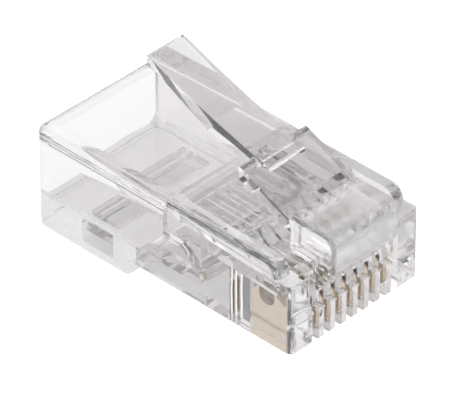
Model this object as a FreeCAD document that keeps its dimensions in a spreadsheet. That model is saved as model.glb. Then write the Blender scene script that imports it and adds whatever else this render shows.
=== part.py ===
import FreeCAD, Part
import math
import os
import Sketcher

# An un-crimped eight-way modular plug for data cable, latch side up and nose towards -Y.
#
# Every sub-part is drawn in the plug's own datum: X = 0 is the middle of its width, Y = 0 is the
# face of the comb at the nose, Z = 0 is the underside of the front body. Each sub-part's Placement
# then moves that datum so that the finished plug stands on its rear foot, with the origin under
# the middle of its overall box.

SIZES = (
    # Outside of the housing
    ("body_width", 11.68, "over the two side faces"),
    ("body_length", 22.5, "from the comb's face to the rear end"),
    ("body_height", 6.5, "front body, from its underside to the rails and roof"),
    ("nose_height", 5.3, "top of the two nose blocks and floor of the nose well"),
    ("rail_setback", 1.15, "from the comb's face to the front ends of the side rails"),
    ("rail_curve", 0.9, "radius of the rails' front ends, as a share of the rails' height"),
    ("well_width", 9.5, "between the side rails at the nose"),
    ("well_end", 4.0, "from the comb's face to the start of the well's rear ramp"),
    ("well_ramp", 0.9, "length of the ramp from the well up to the roof"),
    ("foot_setback", 14.2, "from the comb's face to the front of the rear foot"),
    ("foot_drop", 1.2, "depth of the rear foot below the front body"),
    ("foot_rounding", 0.45, "radius of the foot's front corners"),
    ("corner_rounding", 0.5, "radius of the upright corners at the nose"),
    ("rear_rounding", 0.7, "radius of the upright corners at the rear"),
    ("edge_rounding", 0.25, "radius of the lower outer edges"),
    ("roof_rounding", 0.45, "radius of the upper outer edges"),
    ("block_groove", 0.12, "depth of the parting step across the nose blocks"),
    ("block_step", 2.95, "height of the parting step on the nose blocks"),
    # Latch root, which belongs to the housing
    ("root_width", 6.04, "across the latch root and the latch's front plate"),
    ("root_reach", 0.95, "how far the latch root stands out in front of the comb"),
    ("root_back", 2.7, "from the comb's face to the back of the latch root"),
    ("root_top", 7.95, "top of the latch root"),
    ("root_lip", 5.4, "lower front edge of the latch root"),
    ("root_rounding", 0.3, "radius of the latch root's front edges"),
    ("root_brow", 0.9, "radius of the latch root's upper front edge"),
    # Comb and contact slots
    ("pitch", 1.02, "from one contact to the next"),
    ("comb_slot", 0.6, "width of an open slot in the comb"),
    ("comb_slot_depth", 0.9, "depth of an open slot behind the comb's face"),
    ("comb_slot_height", 2.25, "top of the open slots"),
    ("comb_height", 2.45, "top of the comb, where it steps back"),
    ("comb_step", 0.52, "how far the face above the comb is set back"),
    ("comb_margin", 0.11, "stepped-back face beyond the outermost slots, on each side"),
    ("comb_rise", 3.4, "where the stepped-back face turns forward under the latch root"),
    ("slot_spare", 0.1, "length of a contact slot behind its contact"),
    # Contacts
    ("blade_thickness", 0.32, "sheet thickness of a contact"),
    ("blade_gap", 0.02, "play on each side of a contact in its slot"),
    ("blade_setback", 0.6, "from the comb's face to a contact's front edge"),
    ("blade_length", 3.6, "front edge to rear edge"),
    ("blade_lift", 0.12, "contact's lower edge above the body's underside"),
    ("blade_shoulder", 2.7, "height of the contact's shoulders above the underside"),
    ("prong_height", 3.22, "height of the two piercing prongs above the underside"),
    ("prong_front", 0.75, "from the front edge to where the front prong rises"),
    ("notch_front", 1.65, "from the front edge to the notch between the prongs"),
    ("notch_width", 1.3, "width of the notch between the prongs"),
    ("notch_floor", 2.15, "bottom of the notch above the underside"),
    ("prong_flat", 0.1, "flat top of each prong, before it slopes down to the shoulder"),
    ("blade_nose_rounding", 0.8, "radius of a contact's lower front corner"),
    ("blade_heel_rounding", 0.3, "radius of a contact's lower rear corner"),
    ("crimp_stroke", 0.5, "how far a contact is pushed up when the plug is crimped"),
    # Wire channels
    ("channel_width", 0.84, "width of one wire channel"),
    ("channel_front", 1.9, "from the comb's face to the blind ends of the channels"),
    ("channel_rear", 10.1, "from the comb's face to the channels' mouths"),
    ("channel_top_front", 4.3, "channel ceiling at its blind end"),
    ("channel_top_rear", 4.75, "channel ceiling at its mouth"),
    ("channel_depth", 0.98, "height of a channel in front of the clamp pocket"),
    # Jacket cavity
    ("side_wall", 0.92, "thickness of the cavity's side walls"),
    ("cavity_front", 11.4, "from the comb's face to the front of the full-width cavity"),
    ("throat_lap", 0.5, "how far the channels' throat runs into the cavity"),
    ("throat_floor", 3.5, "floor of the throat above the front body's underside"),
    ("cavity_floor", 0.8, "cavity floor above the front body's underside"),
    ("cavity_roof", 1.25, "thickness of the roof over the cavity"),
    ("cavity_rounding", 0.7, "radius of the cavity's long inner corners"),
    ("mouth_chamfer", 0.15, "lead-in at the cable mouth"),
    # Front pocket and the wire clamp bar in it
    ("pocket_web", 1.87, "wall between the contact slots and the front pocket"),
    ("core_reach", 1.9, "how far the pocket's middle part reaches in front of its full width"),
    ("core_width", 7.0, "width of the front pocket's middle part"),
    ("foot_web", 0.35, "wall between the front pocket and the rear foot's front face"),
    ("pocket_width", 9.8, "full width of the front pocket"),
    ("arch_spring", 1.8, "where the full-width pocket's arched ceiling starts at its front"),
    ("arch_run", 1.23, "length of the arch's steep front part"),
    ("arch_shoulder", 2.9, "height at the end of the arch's steep front part"),
    ("arch_crown", 3.2, "highest part of the arched ceiling"),
    ("arch_rounding", 1.2, "radius of the arch's bends"),
    ("bar_gap", 0.2, "play round the clamp bars"),
    ("bar_seat_gap", 0.05, "play where the wire clamp bar is hinged"),
    ("bar_bottom", 0.9, "flat underside of the wire clamp bar"),
    ("bar_top", 2.2, "top of the wire clamp bar"),
    ("bar_nose_rounding", 1.0, "radius of the wire clamp bar's front edge"),
    ("bar_crown_rounding", 2.0, "radius of the wire clamp bar's rear shoulder"),
    ("bar_fall", 1.1, "run of the bar's sloping rear face"),
    ("bar_heel", 1.9, "from the pocket's rear wall to the bar's flat underside"),
    ("bar_knuckle", 0.38, "radius of the bar's hinge end"),
    ("rib_lift", 0.35, "ribs between the channels cut short above the middle of the pocket"),
    ("ridge_setback", 0.6, "from the bar's front face to its middle ridge"),
    ("ridge_length", 2.4, "length of the middle ridge"),
    ("ridge_top", 3.2, "top of the middle ridge, which presses on the wires"),
    # Rear pocket in the foot and the jacket clamp bar in it
    ("grip_front", 16.25, "from the comb's face to the rear pocket"),
    ("grip_length", 2.8, "length of the rear pocket"),
    ("grip_width", 8.1, "width of the rear pocket"),
    ("grip_top", 0.95, "top of the jacket clamp bar"),
    ("grip_bottom", -0.35, "underside of the jacket clamp bar"),
    ("groove_floor", 0.35, "bottom of the grooves across the jacket clamp bar"),
    ("groove_first", 1.1, "from the bar's front face to its first groove"),
    ("groove_width", 0.42, "width of a groove"),
    ("groove_spacing", 0.68, "from one groove to the next"),
    # Latch
    ("hinge_gap", 0.06, "between the latch root and the latch's hinge end"),
    ("hinge_height", 7.35, "middle of the latch's hinge end"),
    ("plate_thickness", 0.9, "thickness of the latch's front plate"),
    ("plate_angle", 24, "slope of the front plate, in degrees"),
    ("shoulder_setback", 7.15, "from the comb's face to the locking shoulders"),
    ("lever_width", 3.26, "width of the finger lever"),
    ("lever_front", 5.85, "from the comb's face to the front of the finger lever"),
    ("lever_step", 0.3, "height of the lever's front end above the plate"),
    ("lever_angle", 17.7, "slope of the finger lever from end to end, in degrees"),
    ("lever_sag", 0.18, "how far the lever's top dips in the middle"),
    ("lever_end", 16.65, "from the comb's face to the lever's tip"),
    ("lever_root", 1.2, "thickness of the lever at the shoulders"),
    ("lever_belly", 1.25, "thickness of the lever at its belly"),
    ("belly_setback", 11.2, "from the comb's face to the lever's belly"),
    ("lever_tip", 0.48, "thickness of the lever at its tip"),
    ("lever_rounding", 0.26, "radius of the lever's front end"),
    ("tip_rounding", 0.2, "radius of the edges at the lever's tip"),
)

CONTACT_COUNT = 8
NEAR = 0.001
HALF_ROUND = 0.98  # share of a half-round end, so that two roundings never quite meet
FIRST_CORNER = math.radians(210)  # an outline starts at its lower left corner

# Formulas shared by several sub-parts; @ stands for the sheet
ROW_SPAN = f"@pitch * {CONTACT_COUNT - 1}"
SLOT_END = "(@blade_setback + @blade_length + @slot_spare)"
CORE_FRONT = f"({SLOT_END} + @pocket_web)"
POCKET_FRONT = f"({CORE_FRONT} + @core_reach)"
POCKET_REAR = "(@foot_setback - @foot_web)"
CEILING = "(@body_height - @cavity_roof)"
CHANNEL_SLOPE = "(@channel_top_rear - @channel_top_front) / (@channel_rear - @channel_front)"
HINGE_Y = "(@root_back + @hinge_gap + @plate_thickness / 2)"


def fill_sheet(doc):
    """The driving sizes, one row each: name, value, meaning."""
    sheet = doc.addObject("Spreadsheet::Sheet", "Size")
    for row, (name, value, meaning) in enumerate(SIZES, start=1):
        sheet.set(f"A{row}", name)
        sheet.set(f"B{row}", str(value))
        sheet.set(f"C{row}", meaning)
        sheet.setAlias(f"B{row}", name)
    doc.recompute()
    return sheet


def sized(expression):
    """Lets a formula name the sheet's cells with a leading @."""
    return expression.replace("@", "Size.")


def origin_feature(body, role):
    """One of a body's own origin planes or axes."""
    for feature in body.Origin.OriginFeatures:
        if feature.Role == role:
            return feature
    raise ValueError(role)


def new_body(doc, name, across="0"):
    """A body whose Placement brings the plug's datum to the finished plug's origin."""
    body = doc.addObject("PartDesign::Body", name)
    body.Label = name
    body.setExpression("Placement.Base.x", sized(across))
    body.setExpression("Placement.Base.y", sized("(@root_reach - @body_length) / 2"))
    body.setExpression("Placement.Base.z", sized("@foot_drop"))
    return body


def outline(body, name, role, corners, offset=None, hollow=None):
    """A closed outline with two formulas for each corner.

    Its sides are straight, but for one that may be hollow: (the side's number, radius).
    """
    sketch = body.newObject("Sketcher::SketchObject", name)
    sketch.AttachmentSupport = [(origin_feature(body, role), "")]
    sketch.MapMode = "FlatFace"
    if offset is not None:
        sketch.setExpression("AttachmentOffset.Base.z", sized(offset))
    count = len(corners)
    turn = 2 * math.pi / count
    angles = [FIRST_CORNER + turn * i for i in range(count + 1)]
    start = [FreeCAD.Vector(math.cos(angle), math.sin(angle), 0) for angle in angles]
    ends = [(1, 2)] * count
    for i in range(count):
        if hollow is not None and hollow[0] == i:
            circle = Part.Circle(start[i] + start[i + 1], FreeCAD.Vector(0, 0, 1), 1)
            arc = Part.ArcOfCircle(circle, math.pi + angles[i], math.pi + angles[i + 1])
            sketch.addGeometry(arc)
            ends[i] = (2, 1)
        else:
            sketch.addGeometry(Part.LineSegment(start[i], start[i + 1]))
    for i in range(count):
        following = (i + 1) % count
        sketch.addConstraint(Sketcher.Constraint(
            "Coincident", i, ends[i][1], following, ends[following][0]))
    for i, (along, up) in enumerate(corners):
        pin(sketch, (i, ends[i][0]), f"DistanceX_{i}", start[i].x, along)
        pin(sketch, (i, ends[i][0]), f"DistanceY_{i}", start[i].y, up)
    if hollow is not None:
        row = sketch.addConstraint(Sketcher.Constraint("Radius", hollow[0], 1))
        name_and_drive(sketch, row, "Radius", hollow[1])
    return sketch


def pin(sketch, point, title, value, formula):
    """Ties one coordinate of an outline's corner to a formula."""
    direction = title.split("_")[0]
    row = sketch.addConstraint(Sketcher.Constraint(direction, -1, 1, *point, value))
    name_and_drive(sketch, row, title, formula)


def name_and_drive(sketch, row, title, formula):
    """Gives a sketch's constraint a name and a formula."""
    sketch.renameConstraint(row, title)
    sketch.setExpression(f"Constraints.{title}", sized(formula))


def extrude(body, kind, name, sketch, width):
    """A Pad or Pocket that grows equally to both sides of its sketch."""
    feature = body.newObject(f"PartDesign::{kind}", name)
    feature.Profile = sketch
    feature.SideType = "Symmetric"
    feature.setExpression("Length", sized(width))
    return feature


def side_cut(body, name, corners, width, offset=None):
    """A pocket with a side-view outline, cut through a width."""
    sketch = outline(body, f"{name}_outline", "YZ_Plane", corners, offset)
    return extrude(body, "Pocket", name, sketch, width)


def side_pad(body, name, corners, width, hollow=None):
    """A pad with a side-view outline, grown over a width."""
    sketch = outline(body, f"{name}_outline", "YZ_Plane", corners, hollow=hollow)
    return extrude(body, "Pad", name, sketch, width)


def rectangle(low_along, low_up, high_along, high_up):
    """The four corners of an upright rectangle."""
    return (
        (low_along, low_up),
        (high_along, low_up),
        (high_along, high_up),
        (low_along, high_up),
    )


def repeat_across(body, feature, name):
    """Copies a feature to every contact position, one pitch apart."""
    pattern = body.newObject("PartDesign::LinearPattern", name)
    pattern.Originals = [feature]
    pattern.Direction = (origin_feature(body, "X_Axis"), [""])
    pattern.Occurrences = CONTACT_COUNT
    pattern.setExpression("Length", sized(ROW_SPAN))
    body.Tip = pattern
    return pattern


def dress(body, kind, name, base, edges, size):
    """Fillets or chamfers chosen edges of the last feature."""
    feature = body.newObject(f"PartDesign::{kind}", name)
    feature.Base = (base, edges)
    feature.setExpression("Radius" if kind == "Fillet" else "Size", sized(size))
    return feature


def edges_where(feature, test):
    """Names of a feature's edges whose end points both pass a test."""
    names = []
    for index, edge in enumerate(feature.Shape.Edges, start=1):
        points = [vertex.Point for vertex in edge.Vertexes]
        if len(points) == 2 and test(*points):
            names.append(f"Edge{index}")
    if not names:
        raise ValueError(f"no edge found on {feature.Name}")
    return names


def near(first, second):
    return abs(first - second) < NEAR


def runs_along(first, second, axis):
    """True for a straight edge parallel to one axis."""
    others = [name for name in ("x", "y", "z") if name != axis]
    return all(near(getattr(first, name), getattr(second, name)) for name in others)


def at(**wanted):
    """A test for edges lying at given coordinates; an absolute x takes both sides."""
    along = wanted.pop("along")
    side = wanted.pop("side", None)

    def test(first, second):
        if not runs_along(first, second, along):
            return False
        if side is not None and not near(abs(first.x), side):
            return False
        return all(near(getattr(first, name), value) for name, value in wanted.items())

    return test


def build_housing(doc, sheet):
    """The clear one-piece housing."""
    body = new_body(doc, "housing")
    block = side_pad(body, "body_block", (
        ("0", "0"),
        ("@foot_setback", "0"),
        ("@foot_setback", "-@foot_drop"),
        ("@body_length", "-@foot_drop"),
        ("@body_length", "@body_height"),
        ("@rail_setback", "@body_height"),
        ("@rail_setback", "@nose_height"),
        ("0", "@nose_height"),
    ), "@body_width")
    doc.recompute()
    half = sheet.body_width / 2
    nose = dress(body, "Fillet", "nose_corners", block, (
        edges_where(block, at(along="z", side=half, y=0))
    ), "@corner_rounding")
    doc.recompute()
    corners = dress(body, "Fillet", "rear_corners", nose, (
        edges_where(nose, at(along="z", side=half, y=sheet.body_length))
    ), "@rear_rounding")
    doc.recompute()
    foot = dress(body, "Fillet", "foot_corners", corners, (
        edges_where(corners, at(along="z", side=half, y=sheet.foot_setback))
    ), "@foot_rounding")
    doc.recompute()
    rails = dress(body, "Fillet", "rail_ends", foot, (
        edges_where(foot, at(along="x", y=sheet.rail_setback, z=sheet.body_height))
    ), "(@body_height - @nose_height) * @rail_curve")
    doc.recompute()
    roof = dress(body, "Fillet", "roof_edges", rails, (
        edges_where(rails, at(along="y", side=half, z=sheet.body_height))
    ), "@roof_rounding")
    doc.recompute()
    dress(body, "Fillet", "lower_edges", roof, (
        edges_where(roof, at(along="y", side=half, z=0))
        + edges_where(roof, at(along="y", side=half, z=-sheet.foot_drop))
    ), "@edge_rounding")
    doc.recompute()
    cut_nose(body)
    add_latch_root(doc, body, sheet)
    cut_contact_slots(body)
    cut_wire_channels(body)
    cut_cavity(doc, body, sheet)
    return body


def cut_nose(body):
    """The well round the latch root and the stepped-back face above the comb."""
    side_cut(body, "nose_well", (
        ("0", "@nose_height"),
        ("@well_end", "@nose_height"),
        ("@well_end + @well_ramp", "@body_height"),
        ("@well_end + @well_ramp", "@body_height + 1"),
        ("0", "@body_height + 1"),
    ), "@well_width")
    side_cut(body, "comb_step_cut", rectangle(
        "-1", "@comb_height", "@comb_step", "@nose_height + 1"),
        f"{ROW_SPAN} + @comb_slot + 2 * @comb_margin")
    side_cut(body, "parting_step", rectangle(
        "-1", "@block_step", "@block_groove", "@nose_height + 1"), "@body_width + 2")


def add_latch_root(doc, body, sheet):
    """The block at the nose that carries the latch."""
    root = side_pad(body, "latch_root", (
        ("@comb_step", "@comb_rise"),
        ("@root_back", "@comb_rise"),
        ("@root_back", "@root_top"),
        ("-@root_reach", "@root_top"),
        ("-@root_reach", "@root_lip"),
    ), "@root_width")
    doc.recompute()
    reach = -sheet.root_reach
    brow = dress(body, "Fillet", "root_brow_edge", root, (
        edges_where(root, at(along="x", y=reach, z=sheet.root_top))
    ), "@root_brow")
    doc.recompute()
    dress(body, "Fillet", "root_edges", brow, (
        edges_where(brow, at(along="x", y=reach, z=sheet.root_lip))
        + edges_where(brow, at(along="z", side=sheet.root_width / 2, y=reach))
    ), "@root_rounding")


def cut_contact_slots(body):
    """Open comb slots at the nose and a narrow slot behind each for its contact."""
    first = f"-({ROW_SPAN}) / 2"
    comb = side_cut(body, "comb_slot_cut", rectangle(
        "-1", "-1", "@comb_slot_depth", "@comb_slot_height"), "@comb_slot", first)
    repeat_across(body, comb, "comb_slots")
    reach = "@prong_height + @blade_gap"
    prongs = "@blade_setback + @prong_front - @blade_gap"
    slot = side_cut(body, "contact_slot_cut", (
        ("-1", "-1"),
        (SLOT_END, "-1"),
        (SLOT_END, f"{reach} + @crimp_stroke"),
        (prongs, f"{reach} + @crimp_stroke"),
        (prongs, reach),
        ("-1", reach),
    ), "@blade_thickness + 2 * @blade_gap", first)
    repeat_across(body, slot, "contact_slots")


def cut_wire_channels(body):
    """Eight sloping channels that guide the wires over the contacts."""
    channel = side_cut(body, "wire_channel_cut", (
        ("@channel_front", "@channel_top_front - @channel_depth"),
        ("@channel_rear", "@channel_top_rear - @channel_depth"),
        ("@channel_rear", "@channel_top_rear"),
        ("@channel_front", "@channel_top_front"),
    ), "@channel_width", f"-({ROW_SPAN}) / 2")
    repeat_across(body, channel, "wire_channels")


def cut_cavity(doc, body, sheet):
    """The jacket cavity, its throat into the channels and the two strain-relief pockets."""
    cavity = side_cut(body, "jacket_cavity", rectangle(
        "@cavity_front", "@cavity_floor", "@body_length + 1", CEILING),
        "@body_width - 2 * @side_wall")
    doc.recompute()
    inner = sheet.body_width / 2 - sheet.side_wall
    ceiling = sheet.body_height - sheet.cavity_roof
    rounded = dress(body, "Fillet", "cavity_corners", cavity, (
        edges_where(cavity, at(along="y", side=inner))
    ), "@cavity_rounding")
    doc.recompute()

    def on_rim(point):
        return (near(point.y, sheet.body_length) and abs(point.x) < inner + NEAR
                and sheet.cavity_floor - NEAR < point.z < ceiling + NEAR)

    rim = edges_where(rounded, lambda first, second: on_rim(first) and on_rim(second))
    dress(body, "Chamfer", "cable_mouth", rounded, rim, "@mouth_chamfer")
    side_cut(body, "throat", (
        ("@channel_rear", "@throat_floor"),
        ("@cavity_front + @throat_lap", "@throat_floor"),
        ("@cavity_front + @throat_lap", CEILING),
        ("@cavity_front", CEILING),
        ("@channel_rear", "@channel_top_rear"),
    ), f"{ROW_SPAN} + @channel_width")
    pocket = side_cut(body, "front_pocket", (
        (POCKET_FRONT, "-1"),
        (POCKET_REAR, "-1"),
        (POCKET_REAR, "@cavity_floor + 1"),
        ("@cavity_front", "@arch_crown"),
        ("@channel_rear", "@arch_crown"),
        (f"{POCKET_FRONT} + @arch_run", "@arch_shoulder"),
        (POCKET_FRONT, "@arch_spring"),
    ), "@pocket_width")
    doc.recompute()
    pocket_front = pocket_start(sheet)
    dress(body, "Fillet", "arch_bends", pocket, (
        edges_where(pocket, at(along="x", y=pocket_front, z=sheet.arch_spring))
        + edges_where(pocket, at(along="x", y=pocket_front + sheet.arch_run,
                                 z=sheet.arch_shoulder))
    ), "@arch_rounding")
    rib_ends = "@channel_top_rear - @channel_depth + @rib_lift"
    side_cut(body, "core_pocket", (
        (CORE_FRONT, "-1"),
        (POCKET_REAR, "-1"),
        (POCKET_REAR, "@cavity_floor + 1"),
        ("@cavity_front", "@throat_floor + @bar_gap"),
        ("@channel_rear", rib_ends),
        (CORE_FRONT, f"{rib_ends} - (@channel_rear - {CORE_FRONT}) * {CHANNEL_SLOPE}"),
    ), "@core_width")
    side_cut(body, "rear_pocket", rectangle(
        "@grip_front", "-@foot_drop - 1", "@grip_front + @grip_length", "@cavity_floor + 1"),
        "@grip_width")


def pocket_start(sheet):
    """From the comb's face to the front wall of the full-width front pocket."""
    slot_end = sheet.blade_setback + sheet.blade_length + sheet.slot_spare
    return slot_end + sheet.pocket_web + sheet.core_reach


def build_wire_clamp_bar(doc, sheet):
    """The arched bar in the front pocket, hinged at its rear end."""
    body = new_body(doc, "wire_clamp_bar")
    front = f"{POCKET_FRONT} + @bar_gap"
    rear = f"{POCKET_REAR} - @bar_seat_gap"
    bar = side_pad(body, "bar_block", (
        (front, "@bar_bottom"),
        (f"{POCKET_REAR} - @bar_heel", "@bar_bottom"),
        (f"{rear} - @bar_knuckle", "@cavity_floor - 2 * @bar_knuckle"),
        (rear, "@cavity_floor - 2 * @bar_knuckle"),
        (rear, "@cavity_floor"),
        (f"{POCKET_REAR} - @bar_fall", "@bar_top"),
        (front, "@bar_top"),
    ), "@pocket_width - 2 * @bar_gap")
    doc.recompute()
    seat = sheet.foot_setback - sheet.foot_web - sheet.bar_seat_gap
    front_face = pocket_start(sheet) + sheet.bar_gap
    crown = sheet.foot_setback - sheet.foot_web - sheet.bar_fall
    knuckle = dress(body, "Fillet", "hinge_end", bar, (
        edges_where(bar, at(along="x", y=seat))
    ), f"@bar_knuckle * {HALF_ROUND}")
    doc.recompute()
    nose = dress(body, "Fillet", "bar_nose", knuckle, (
        edges_where(knuckle, at(along="x", y=front_face, z=sheet.bar_top))
    ), "@bar_nose_rounding")
    doc.recompute()
    dress(body, "Fillet", "bar_crown_edge", nose, (
        edges_where(nose, at(along="x", y=crown, z=sheet.bar_top))
    ), "@bar_crown_rounding")
    side_pad(body, "middle_ridge", rectangle(
        f"{front} + @ridge_setback", "@bar_bottom + @bar_knuckle",
        f"{front} + @ridge_setback + @ridge_length", "@ridge_top"),
        "@core_width - 2 * @bar_gap")
    return body


def build_jacket_clamp_bar(doc):
    """The grooved bar in the cavity floor that grips the cable's jacket."""
    body = new_body(doc, "jacket_clamp_bar")
    front = "@grip_front + @bar_gap"
    side_pad(body, "grip_block", rectangle(
        front, "@grip_bottom", "@grip_front + @grip_length - @bar_gap", "@grip_top"),
        "@grip_width - 2 * @bar_gap")
    for number in range(2):
        start = f"{front} + @groove_first + {number} * @groove_spacing"
        side_cut(body, f"groove_{number + 1}", (
            (start, "@grip_top + 1"),
            (start, "@grip_top"),
            (f"{start} + @groove_width / 2", "@groove_floor"),
            (f"{start} + @groove_width", "@grip_top"),
            (f"{start} + @groove_width", "@grip_top + 1"),
        ), "@grip_width")
    return body


def build_latch(doc, sheet):
    """The latch: hinge end, front plate with its locking shoulders, and finger lever."""
    body = new_body(doc, "latch_tab")
    rise = "tan(@plate_angle)"
    half_up = "@plate_thickness / 2 / cos(@plate_angle)"
    plate_mid = f"(@hinge_height + (@shoulder_setback - {HINGE_Y}) * {rise})"
    tuck = "@plate_thickness / 2 * sin(@plate_angle)"
    drop = "@plate_thickness / 2 * cos(@plate_angle)"
    side_pad(body, "front_plate", (
        (f"{HINGE_Y} + {tuck}", f"@hinge_height - {drop}"),
        ("@shoulder_setback", f"{plate_mid} - {half_up}"),
        ("@shoulder_setback", f"{plate_mid} + {half_up}"),
        (f"{HINGE_Y} - {tuck}", f"@hinge_height + {drop}"),
    ), "@root_width")
    lever_z = f"(@hinge_height + (@lever_front - {HINGE_Y}) * {rise} + {half_up} + @lever_step)"

    def top(place):
        return f"{lever_z} + ({place} - @lever_front) * tan(@lever_angle)"

    chord = "((@lever_end - @lever_front) / cos(@lever_angle))"
    lever = side_pad(body, "finger_lever", (
        ("@lever_front", f"{lever_z} - @lever_step - @plate_thickness / 2"),
        ("@shoulder_setback", f"{top('@shoulder_setback')} - @lever_root"),
        ("@belly_setback", f"{top('@belly_setback')} - @lever_sag - @lever_belly"),
        ("@lever_end", f"{top('@lever_end')} - @lever_tip"),
        ("@lever_end", top("@lever_end")),
        ("@lever_front", lever_z),
    ), "@lever_width", hollow=(4, f"{chord} * {chord} / (8 * @lever_sag) + @lever_sag / 2"))
    doc.recompute()
    front_top = lever_front_top(sheet)
    slope = math.tan(math.radians(sheet.lever_angle))
    end_top = front_top + (sheet.lever_end - sheet.lever_front) * slope
    front = dress(body, "Fillet", "lever_nose", lever, (
        edges_where(lever, at(along="x", y=sheet.lever_front, z=front_top))
    ), "@lever_rounding")
    doc.recompute()
    dress(body, "Fillet", "tip_edges", front, (
        edges_where(front, at(along="z", side=sheet.lever_width / 2, y=sheet.lever_end))
        + edges_where(front, at(along="x", y=sheet.lever_end, z=end_top))
    ), "@tip_rounding")
    knuckle = body.newObject("PartDesign::AdditiveCylinder", "hinge_end")
    knuckle.AttachmentSupport = [(origin_feature(body, "YZ_Plane"), "")]
    knuckle.MapMode = "FlatFace"
    knuckle.setExpression("Radius", sized("@plate_thickness / 2"))
    knuckle.setExpression("Height", sized("@root_width"))
    knuckle.setExpression("AttachmentOffset.Base.x", sized(HINGE_Y))
    knuckle.setExpression("AttachmentOffset.Base.y", sized("@hinge_height"))
    knuckle.setExpression("AttachmentOffset.Base.z", sized("-@root_width / 2"))
    return body


def lever_front_top(sheet):
    """Height of the finger lever's upper front edge."""
    slope = math.radians(sheet.plate_angle)
    hinge_y = sheet.root_back + sheet.hinge_gap + sheet.plate_thickness / 2
    rise = (sheet.lever_front - hinge_y) * math.tan(slope)
    half_up = sheet.plate_thickness / 2 / math.cos(slope)
    return sheet.hinge_height + rise + half_up + sheet.lever_step


def build_contact(doc, sheet, number):
    """One contact blade with two piercing prongs."""
    place = f"@pitch * {number - (CONTACT_COUNT + 1) / 2}"
    body = new_body(doc, f"contact_{number}", place)
    rear = "@blade_setback + @blade_length"
    notch = "@blade_setback + @notch_front"
    blade = side_pad(body, "blade", (
        ("@blade_setback", "@blade_lift"),
        (rear, "@blade_lift"),
        (rear, "@blade_shoulder"),
        (f"{notch} + @notch_width + @prong_flat", "@prong_height"),
        (f"{notch} + @notch_width", "@prong_height"),
        (f"{notch} + @notch_width", "@notch_floor"),
        (notch, "@notch_floor"),
        (notch, "@prong_height"),
        (f"{notch} - @prong_flat", "@prong_height"),
        ("@blade_setback + @prong_front", "@blade_shoulder"),
        ("@blade_setback", "@blade_shoulder"),
    ), "@blade_thickness")
    doc.recompute()
    toe = dress(body, "Fillet", "toe", blade, (
        edges_where(blade, at(along="x", y=sheet.blade_setback, z=sheet.blade_lift))
    ), "@blade_nose_rounding")
    doc.recompute()
    heel_y = sheet.blade_setback + sheet.blade_length
    heel = dress(body, "Fillet", "heel", toe, (
        edges_where(toe, at(along="x", y=heel_y, z=sheet.blade_lift))
    ), "@blade_heel_rounding")
    doc.recompute()
    dress(body, "Fillet", "notch_corners", heel, (
        edges_where(heel, at(along="x", z=sheet.notch_floor))
    ), f"@notch_width / 2 * {HALF_ROUND}")
    return body


def check_objects(doc):
    """Stops at any object that failed to rebuild."""
    for item in doc.Objects:
        if "Invalid" in item.State or "Error" in item.State:
            raise RuntimeError(f"{item.Name} failed: {item.State}")


def write_parts(bodies):
    """One STEP file for each sub-part."""
    os.makedirs("parts", exist_ok=True)
    for body in bodies:
        shape = body.Shape
        if shape.isNull() or not shape.isValid():
            raise RuntimeError(f"{body.Label} has no valid shape")
        shape.exportStep(f"parts/{body.Label}.step")
        print(body.Label, len(shape.Solids), round(shape.Volume, 3))


def main():
    doc = FreeCAD.newDocument("modular_plug")
    sheet = fill_sheet(doc)
    bodies = [
        build_housing(doc, sheet),
        build_latch(doc, sheet),
        build_wire_clamp_bar(doc, sheet),
        build_jacket_clamp_bar(doc),
    ]
    for number in range(1, CONTACT_COUNT + 1):
        bodies.append(build_contact(doc, sheet, number))
    doc.recompute()
    check_objects(doc)
    write_parts(bodies)


main()
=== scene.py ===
import math
import bpy
from mathutils import Matrix, Vector


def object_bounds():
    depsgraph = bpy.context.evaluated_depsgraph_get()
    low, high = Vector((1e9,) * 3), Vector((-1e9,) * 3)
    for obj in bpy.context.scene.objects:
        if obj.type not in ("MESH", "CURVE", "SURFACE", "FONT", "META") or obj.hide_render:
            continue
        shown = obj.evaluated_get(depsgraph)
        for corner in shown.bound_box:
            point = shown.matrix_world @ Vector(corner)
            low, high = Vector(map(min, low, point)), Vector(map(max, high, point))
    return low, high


# A clear modular plug with gold-plated contacts on a white table. Every node keeps its CAD mesh.

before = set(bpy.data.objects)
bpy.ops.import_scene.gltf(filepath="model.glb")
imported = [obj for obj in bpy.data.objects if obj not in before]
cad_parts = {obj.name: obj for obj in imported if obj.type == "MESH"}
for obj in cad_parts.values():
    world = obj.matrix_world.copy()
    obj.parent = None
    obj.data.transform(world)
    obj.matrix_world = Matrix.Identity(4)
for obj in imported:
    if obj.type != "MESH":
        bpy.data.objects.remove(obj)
CAD_BOX = [list(corner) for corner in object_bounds()]
scene = bpy.context.scene
MM = 0.001

# Camera: from the front left, well above the plug
AZIMUTH, ELEVATION = math.radians(45.76), math.radians(36.44)
ROLL = -0.0034
LENS, SENSOR = 424.9, 36
DISTANCE = 0.35
TARGET_X, TARGET_HEIGHT, TARGET_SHIFT = 0.55 * MM, 3.77 * MM, 0.22 * MM

# Levels of the room, where 1 is white
SKIRTING, BACKDROP, LEFT_WALL, OTHER_WALLS = 0.9, 1.25, 1.2, 0.3
ABOVE_BACKDROP, CEILING = 0.03, 1.8

# Table
FLOOR_RADIUS, FLOOR_SIDES = 0.6, 96
FLOOR_COLOUR = (0.8, 0.8, 0.8, 1)
FLOOR_LIFT = 0.4  # added where the table is seen by reflection or through the plastic
WHITE = (1, 1, 1, 1)

# Plastic
PLASTIC_TINT, PLASTIC_HAZE, PLASTIC_IOR = (0.88, 0.865, 0.872, 1), 0.025, 1.585
CLEAR_ROUGHNESS, MILKY_ROUGHNESS = 0.02, 0.2
MILKY_TRANSMISSION = 0.72
FLOW_SCALE, FLOW_HEIGHT = 260, 0.02  # slow waves of the moulded skin
GRAIN_SCALE, GRAIN_HEIGHT = 1900, 0.05  # fine grain of the milky part

# Contacts
GOLD_COLOUR, GOLD_ROUGHNESS = (0.94, 0.84, 0.67, 1), 0.35

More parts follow.
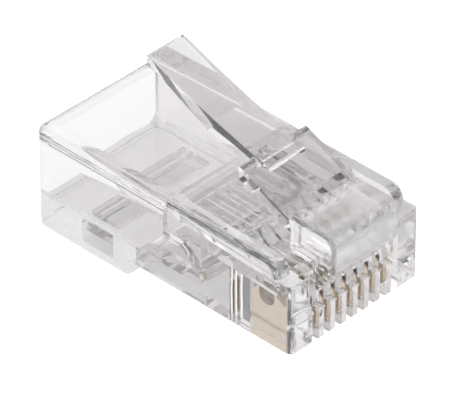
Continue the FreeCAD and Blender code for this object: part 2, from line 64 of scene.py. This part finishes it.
BOUNCES = 32  # light crosses many walls of the plug


def add_camera():
    low, high = (Vector(corner) for corner in CAD_BOX)
    target = Vector((TARGET_X, (low.y + high.y) / 2 + TARGET_SHIFT, TARGET_HEIGHT))
    look = Vector((math.sin(AZIMUTH) * math.cos(ELEVATION),
                   math.cos(AZIMUTH) * math.cos(ELEVATION), -math.sin(ELEVATION)))
    right = look.cross(Vector((0, 0, 1))).normalized()
    up = right.cross(look)
    side = right * math.cos(ROLL) + up * math.sin(ROLL)
    top = up * math.cos(ROLL) - right * math.sin(ROLL)
    data = bpy.data.cameras.new("camera")
    data.lens = LENS
    data.sensor_width = SENSOR
    data.clip_start = 0.01
    data.clip_end = 10
    camera = bpy.data.objects.new("camera", data)
    scene.collection.objects.link(camera)
    place = Matrix((side, top, -look)).transposed().to_4x4()
    place.translation = target - look * DISTANCE
    camera.matrix_world = place
    scene.camera = camera


class Nodes:
    """A node tree built in short lines."""

    def __init__(self, tree):
        self.tree = tree
        tree.nodes.clear()

    def add(self, kind, **values):
        node = self.tree.nodes.new(kind)
        for name, value in values.items():
            setattr(node, name, value)
        return node

    def link(self, source, target):
        self.tree.links.new(source, target)

    def math(self, operation, first, second=None):
        node = self.add("ShaderNodeMath", operation=operation)
        for socket, value in zip(node.inputs, (first, second)):
            if value is None:
                continue
            if isinstance(value, (int, float)):
                socket.default_value = value
            else:
                self.link(value, socket)
        return node.outputs[0]

    def split(self, coordinates):
        """The X, Y and Z of one kind of texture coordinates."""
        place = self.add("ShaderNodeTexCoord")
        node = self.add("ShaderNodeSeparateXYZ")
        self.link(place.outputs[coordinates], node.inputs[0])
        return node.outputs["X"], node.outputs["Y"], node.outputs["Z"]

    def ramp(self, value, low, start, high, end):
        """A smooth step from start, at low, to end, at high."""
        node = self.add("ShaderNodeMapRange", interpolation_type="SMOOTHSTEP")
        limits = {"From Min": low, "From Max": high, "To Min": start, "To Max": end}
        for name, number in limits.items():
            node.inputs[name].default_value = number
        self.link(value, node.inputs["Value"])
        return node.outputs[0]

    def blend(self, factor, first, second):
        """first where factor is 0, second where it is 1."""
        kept = self.math("MULTIPLY", first, self.math("SUBTRACT", 1.0, factor))
        return self.math("ADD", kept, self.math("MULTIPLY", second, factor))

    def noise(self, scale, detail):
        place = self.add("ShaderNodeTexCoord")
        node = self.add("ShaderNodeTexNoise")
        node.inputs["Scale"].default_value = scale
        node.inputs["Detail"].default_value = detail
        self.link(place.outputs["Object"], node.inputs["Vector"])
        return node.outputs["Fac"]


def new_material(name):
    material = bpy.data.materials.new(name)
    material.use_nodes = True
    return material, Nodes(material.node_tree)


def add_world():
    """A studio: white backdrop, bright left wall and ceiling, and dark above the backdrop."""
    world = bpy.data.worlds.new("studio")
    scene.world = world
    world.use_nodes = True
    n = Nodes(world.node_tree)
    x, y, height = n.split("Generated")
    # 1 towards the backdrop, -1 towards the camera's side
    behind = n.math("ADD", n.math("MULTIPLY", x, 0.7), n.math("MULTIPLY", y, 0.7))
    wall = n.blend(n.ramp(x, -0.6, 1.0, -0.2, 0.0), OTHER_WALLS, LEFT_WALL)
    wall = n.blend(n.ramp(behind, 0.25, 0.0, 0.5, 1.0), wall, BACKDROP)
    upper = n.blend(n.ramp(behind, -0.1, 0.0, 0.15, 1.0), wall, ABOVE_BACKDROP)
    level = n.blend(n.ramp(height, 0.12, 0.0, 0.30, 1.0), SKIRTING, wall)
    level = n.blend(n.ramp(height, 0.74, 0.0, 0.78, 1.0), level, upper)
    level = n.blend(n.ramp(height, 0.90, 0.0, 0.95, 1.0), level, CEILING)
    path = n.add("ShaderNodeLightPath")
    level = n.blend(path.outputs["Is Camera Ray"], level, 1.0)
    back = n.add("ShaderNodeBackground")
    back.inputs["Color"].default_value = WHITE
    out = n.add("ShaderNodeOutputWorld")
    n.link(level, back.inputs["Strength"])
    n.link(back.outputs[0], out.inputs["Surface"])


def add_floor():
    """A white table: lit by the room, and lifted to plain white where it is looked at."""
    turns = [2 * math.pi * i / FLOOR_SIDES for i in range(FLOOR_SIDES)]
    ring = [(FLOOR_RADIUS * math.cos(turn), FLOOR_RADIUS * math.sin(turn), 0) for turn in turns]
    mesh = bpy.data.meshes.new("floor")
    mesh.from_pydata(ring, [], [list(range(FLOOR_SIDES))])
    floor = bpy.data.objects.new("floor", mesh)
    scene.collection.objects.link(floor)
    material, n = new_material("white_floor")
    path = n.add("ShaderNodeLightPath").outputs
    seen = n.math("MAXIMUM", path["Is Glossy Ray"], path["Is Transmission Ray"])
    seen = n.math("MULTIPLY", seen, FLOOR_LIFT)
    seen = n.math("MAXIMUM", seen, path["Is Camera Ray"])
    diffuse = n.add("ShaderNodeBsdfDiffuse")
    diffuse.inputs["Color"].default_value = FLOOR_COLOUR
    white = n.add("ShaderNodeEmission")
    white.inputs["Color"].default_value = WHITE
    n.link(seen, white.inputs["Strength"])
    both = n.add("ShaderNodeAddShader")
    out = n.add("ShaderNodeOutputMaterial")
    n.link(diffuse.outputs[0], both.inputs[0])
    n.link(white.outputs[0], both.inputs[1])
    n.link(both.outputs[0], out.inputs["Surface"])
    mesh.materials.append(material)


def milky_part(n):
    """1 in the latch root's block at the nose, fading out around it."""
    x, y, z = n.split("Object")
    across = n.ramp(n.math("ABSOLUTE", x), 2.7 * MM, 1.0, 3.2 * MM, 0.0)
    front = n.ramp(y, -9.6 * MM, 1.0, -8.2 * MM, 0.0)
    above = n.ramp(z, 5.0 * MM, 0.0, 6.4 * MM, 1.0)
    return n.math("MULTIPLY", n.math("MULTIPLY", across, front), above)


def clear_plastic():
    """Clear moulded polycarbonate, milky in the latch root, where the mould is fed."""
    material, n = new_material("clear_polycarbonate")
    shader = n.add("ShaderNodeBsdfPrincipled")
    shader.inputs["Base Color"].default_value = PLASTIC_TINT
    shader.inputs["IOR"].default_value = PLASTIC_IOR
    milky = milky_part(n)
    roughness = n.blend(milky, CLEAR_ROUGHNESS, MILKY_ROUGHNESS)
    transmission = n.blend(milky, 1 - PLASTIC_HAZE, MILKY_TRANSMISSION)
    n.link(roughness, shader.inputs["Roughness"])
    n.link(transmission, shader.inputs["Transmission Weight"])
    grain = n.math("MULTIPLY", n.noise(GRAIN_SCALE, 2), milky)
    height = n.math("ADD", n.math("MULTIPLY", n.noise(FLOW_SCALE, 1), FLOW_HEIGHT),
                    n.math("MULTIPLY", grain, GRAIN_HEIGHT))
    bump = n.add("ShaderNodeBump")
    bump.inputs["Distance"].default_value = MM
    n.link(height, bump.inputs["Height"])
    n.link(bump.outputs[0], shader.inputs["Normal"])
    out = n.add("ShaderNodeOutputMaterial")
    n.link(shader.outputs[0], out.inputs["Surface"])
    return material


def gold():
    material, n = new_material("gold_plate")
    shader = n.add("ShaderNodeBsdfPrincipled")
    shader.inputs["Base Color"].default_value = GOLD_COLOUR
    shader.inputs["Metallic"].default_value = 1
    shader.inputs["Roughness"].default_value = GOLD_ROUGHNESS
    out = n.add("ShaderNodeOutputMaterial")
    n.link(shader.outputs[0], out.inputs["Surface"])
    return material


add_camera()
add_world()
add_floor()
plastic, plate = clear_plastic(), gold()
for name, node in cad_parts.items():
    node.data.materials.clear()
    node.data.materials.append(plate if name.startswith("contact_") else plastic)
scene.view_settings.view_transform = "Standard"
scene.cycles.max_bounces = BOUNCES
scene.cycles.transmission_bounces = BOUNCES
scene.cycles.glossy_bounces = BOUNCES
